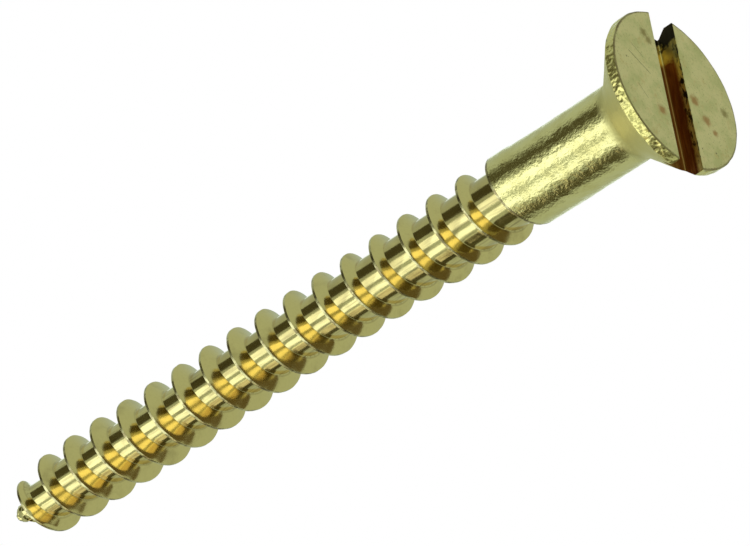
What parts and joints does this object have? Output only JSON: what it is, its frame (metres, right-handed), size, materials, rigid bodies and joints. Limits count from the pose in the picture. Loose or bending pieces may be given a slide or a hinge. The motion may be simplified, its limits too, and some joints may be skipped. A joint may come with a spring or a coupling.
{
  "type": "wood screw",
  "caption": "Slotted countersunk brass wood screw with a plain shank, a coarse right-hand thread and a blunt gimlet point.",
  "frame": {"origin": "centre of the head's flat face, which lies flush with the surface of the wood in use", "axes": "+Z along the screw's axis, out of the head; the point is at -Z; X runs along the driver slot"},
  "size_m": [0.0092, 0.0092, 0.05],
  "materials": {
    "brass": "bare yellow brass: polished thread, satin shank with fine dents, lightly tarnished flat head face, brown tarnish in the slot"
  },
  "bodies": {
    "root": {"wood_screw": "brass"}
  },
  "joints": []
}
